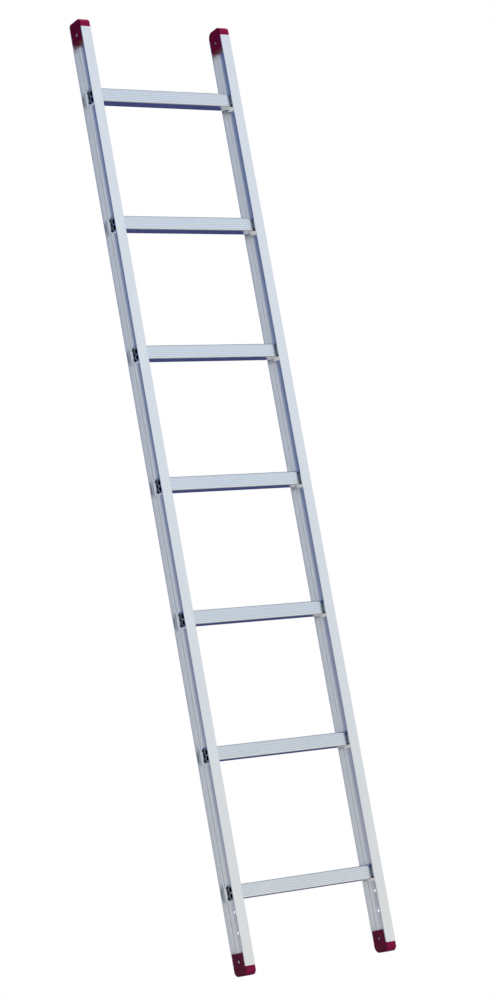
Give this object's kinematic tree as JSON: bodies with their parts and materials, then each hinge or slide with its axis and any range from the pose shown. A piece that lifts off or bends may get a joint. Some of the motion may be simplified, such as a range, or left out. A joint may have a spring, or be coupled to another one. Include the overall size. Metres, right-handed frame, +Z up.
{
  "type": "single section ladder",
  "caption": "Straight single section ladder: two I-section aluminium stiles, square ribbed rungs formed into the webs, and riveted dark red plastic feet and top caps.",
  "frame": {"origin": "on the ground, midway between the two feet and midway between the front and back of the stiles", "axes": "+X across the ladder to the right as seen from the front, +Y from the front, which the picture shows, to the back, +Z up along the stiles"},
  "size_m": [0.372, 0.046, 2.012],
  "materials": {
    "stile_aluminium": "extruded, fine lengthwise lines",
    "rung_aluminium": "extruded, ribbed",
    "cap_plastic": "moulded, fine grain",
    "rivet_aluminium": "satin",
    "mandrel_steel": "broken end, dull"
  },
  "bodies": {
    "root": {"stile_left": "stile_aluminium", "foot_left": "cap_plastic", "rivet_foot_left": "rivet_aluminium", "mandrel_foot_left": "mandrel_steel", "top_cap_left": "cap_plastic", "rivet_top_left": "rivet_aluminium", "mandrel_top_left": "mandrel_steel", "stile_right": "stile_aluminium", "foot_right": "cap_plastic", "rivet_foot_right": "rivet_aluminium", "mandrel_foot_right": "mandrel_steel", "top_cap_right": "cap_plastic", "rivet_top_right": "rivet_aluminium", "mandrel_top_right": "mandrel_steel", "rung_1": "rung_aluminium", "rung_2": "rung_aluminium", "rung_3": "rung_aluminium", "rung_4": "rung_aluminium", "rung_5": "rung_aluminium", "rung_6": "rung_aluminium", "rung_7": "rung_aluminium"}
  },
  "joints": []
}
